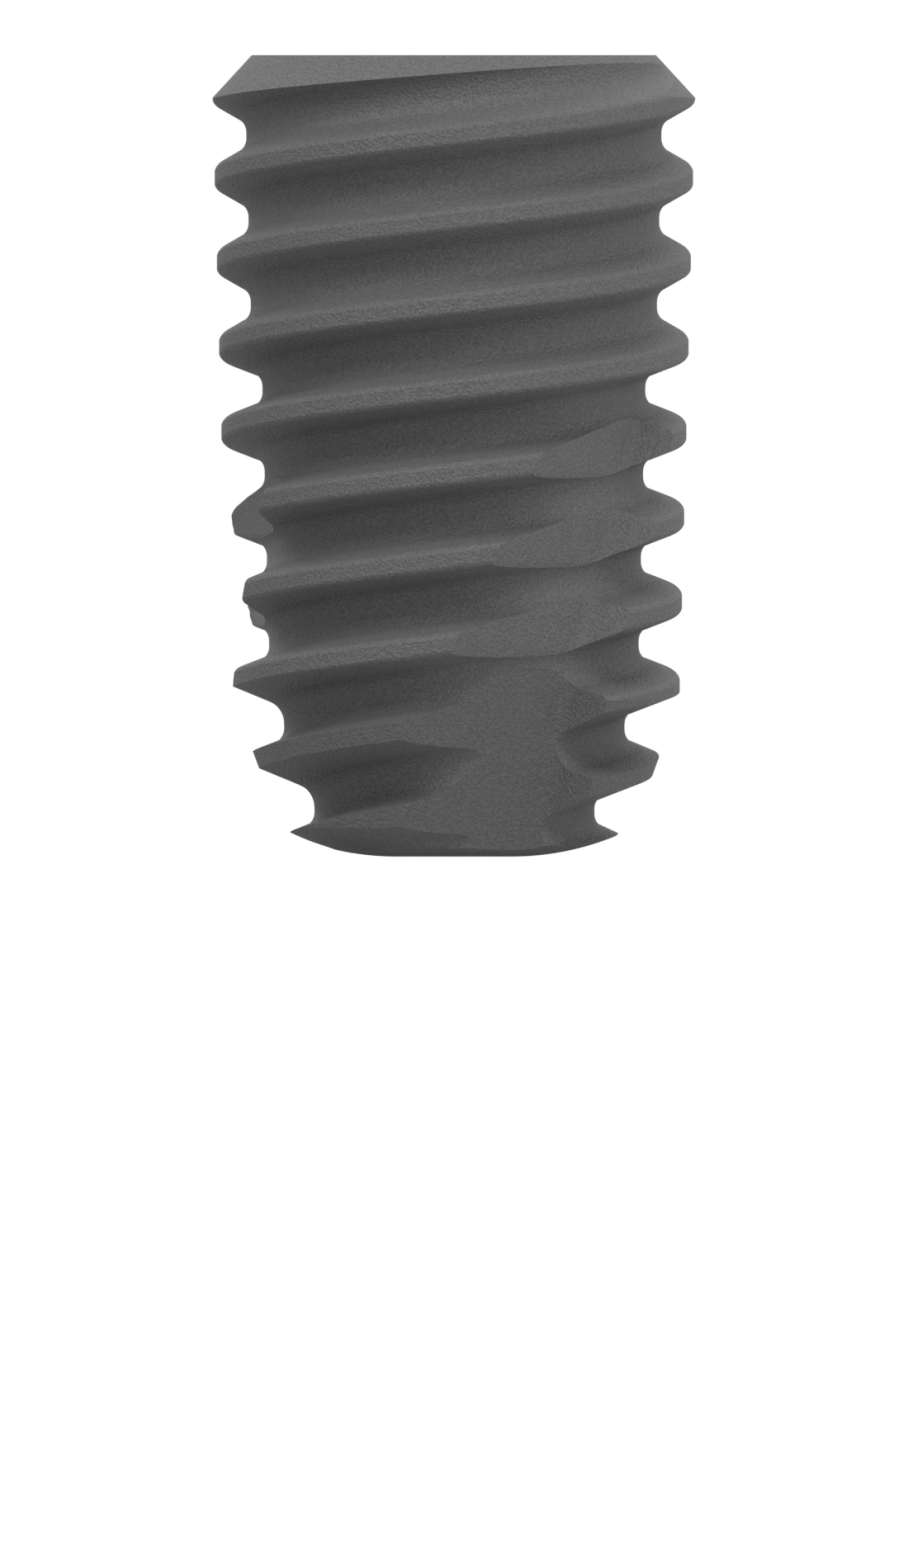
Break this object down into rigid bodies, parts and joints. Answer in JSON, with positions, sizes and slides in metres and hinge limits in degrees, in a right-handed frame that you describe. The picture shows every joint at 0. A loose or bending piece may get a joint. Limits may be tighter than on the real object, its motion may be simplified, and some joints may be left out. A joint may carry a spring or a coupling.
{
  "type": "dental implant",
  "caption": "Tapered screw-form dental implant: bevelled platform, rounded double-start thread, twisted cutting flutes, rounded apex and internal hexagon socket.",
  "frame": {"origin": "centre of the apex, on the implant's axis", "axes": "+Z along the implant's axis, from the apex up to the platform; +X to the right as the picture shows it"},
  "size_m": [0.0048, 0.0048, 0.008],
  "materials": {
    "titanium": "blasted and etched, matte"
  },
  "bodies": {
    "root": {"implant_fixture": "titanium"}
  },
  "joints": []
}
